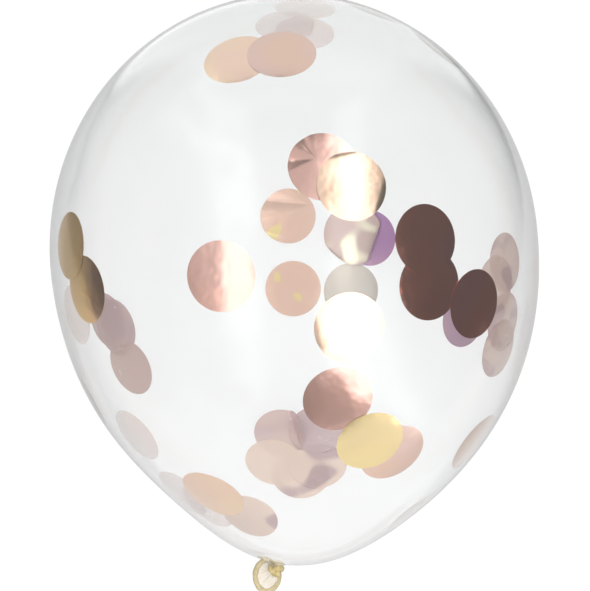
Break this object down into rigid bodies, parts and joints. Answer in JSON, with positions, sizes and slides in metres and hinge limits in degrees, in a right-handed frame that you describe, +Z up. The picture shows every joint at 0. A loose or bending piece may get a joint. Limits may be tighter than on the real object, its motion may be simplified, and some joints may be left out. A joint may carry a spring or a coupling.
{
  "type": "confetti balloon",
  "caption": "Clear latex party balloon, blown up and tied with a knot, holding loose round rose-gold foil confetti, lying on its side.",
  "frame": {"origin": "middle of the small flat on the underside that the balloon rests on", "axes": "+Z up, +Y from the knot end towards the crown, -X the side that the neck leans to"},
  "size_m": [0.3007, 0.3689, 0.2998],
  "materials": {
    "clear_latex": "clear, smooth and glossy",
    "confetti_foil": "metallised film, rose gold, mirror bright"
  },
  "bodies": {
    "root": {"balloon": "clear_latex"}
  },
  "joints": []
}
